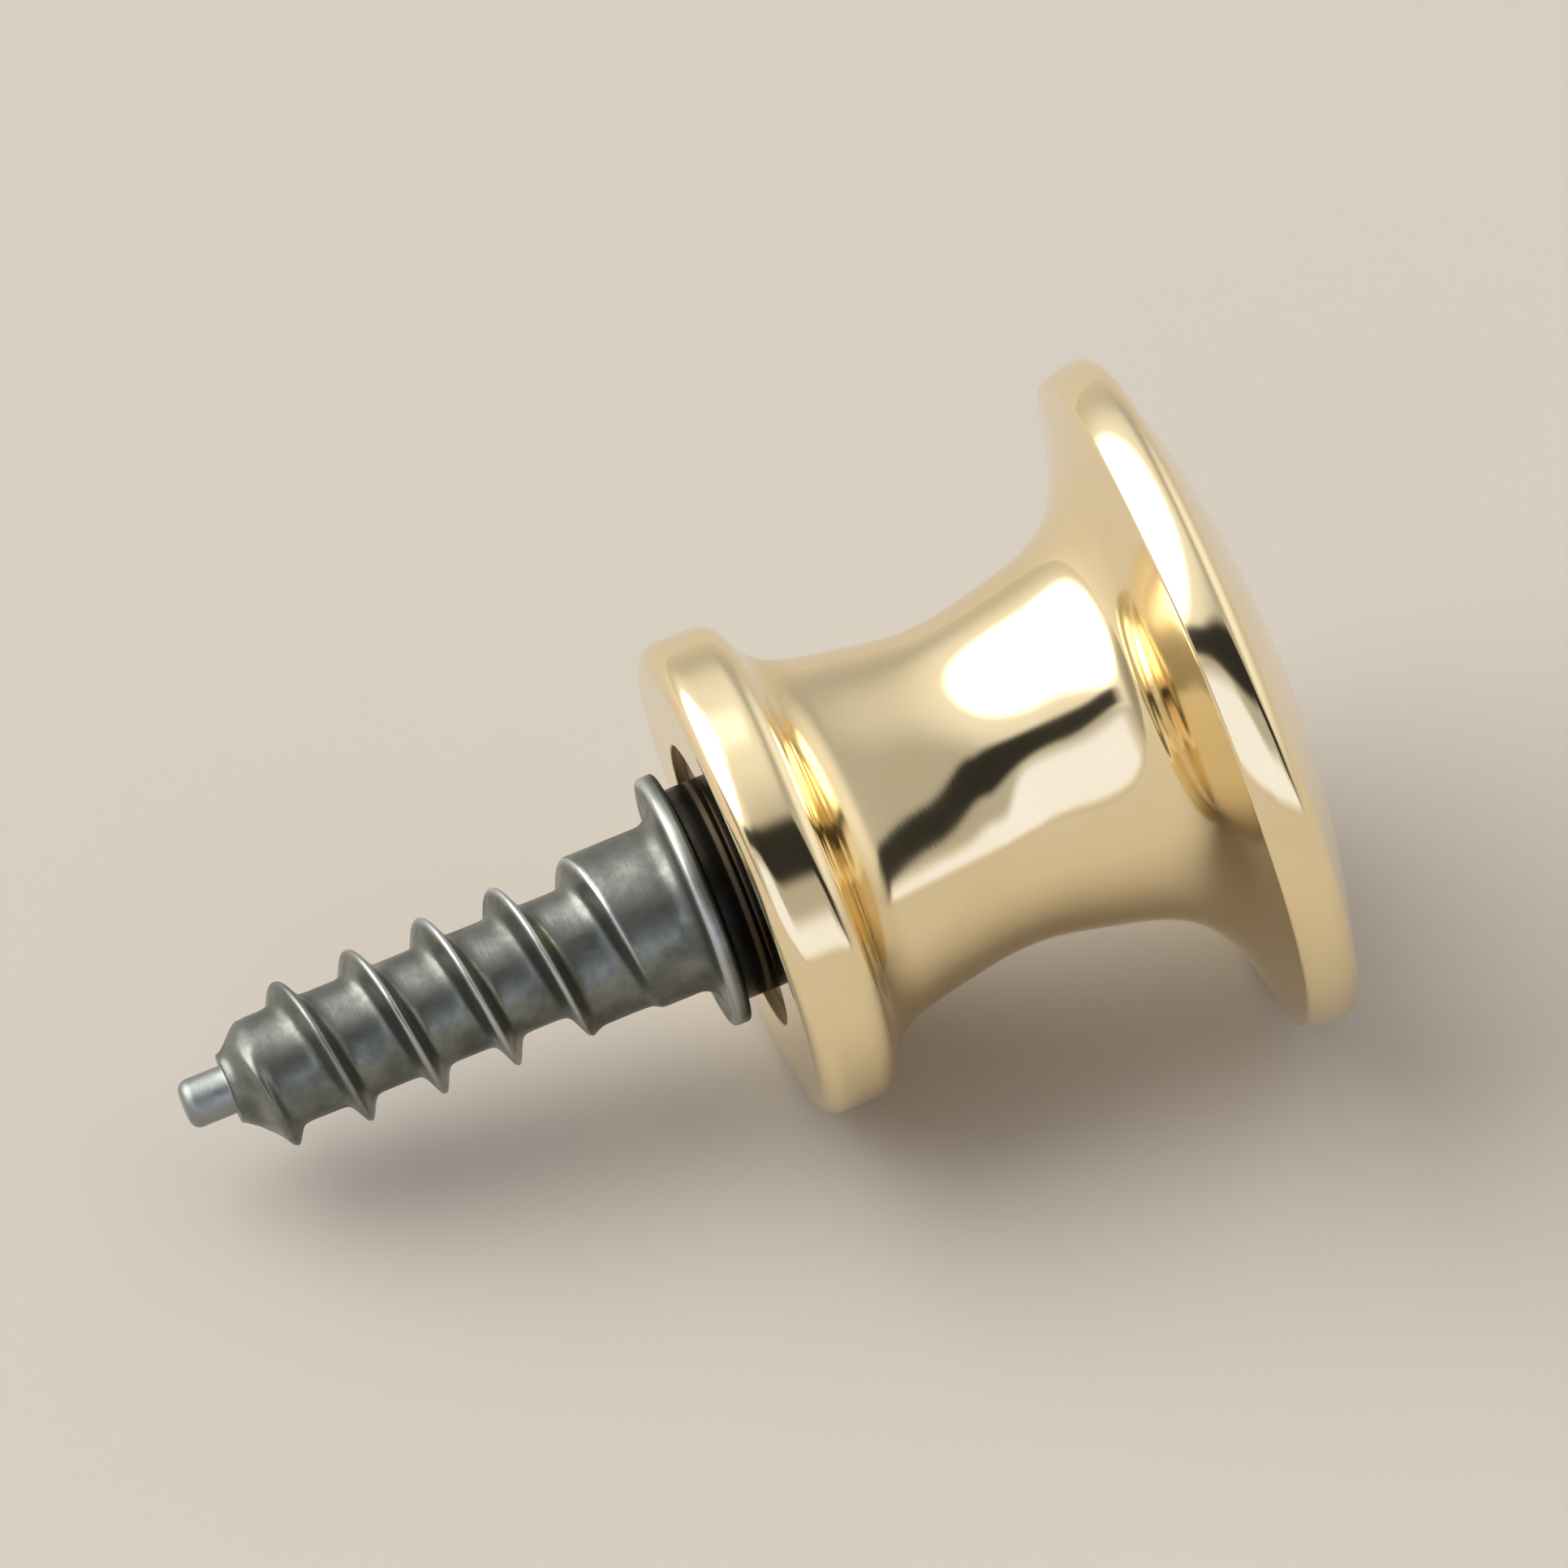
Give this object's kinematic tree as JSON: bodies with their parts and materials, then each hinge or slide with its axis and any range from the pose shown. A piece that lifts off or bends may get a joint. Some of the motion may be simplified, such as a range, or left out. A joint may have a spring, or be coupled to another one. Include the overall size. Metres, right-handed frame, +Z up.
{
  "type": "cabinet knob",
  "caption": "Turned brass cabinet knob with a shallow domed face, trumpet neck and round base, on a steel hanger screw with a wood thread.",
  "frame": {"origin": "centre of the base's seat, on the knob's axis, where it meets the cabinet front", "axes": "+Y along the screw, into the cabinet front; the face looks to -Y; +Z is up on an upright door"},
  "size_m": [0.019, 0.0315, 0.019],
  "materials": {
    "brass": "polished",
    "steel": "dull, oiled"
  },
  "bodies": {
    "root": {"knob": "brass", "screw": "steel"}
  },
  "joints": []
}
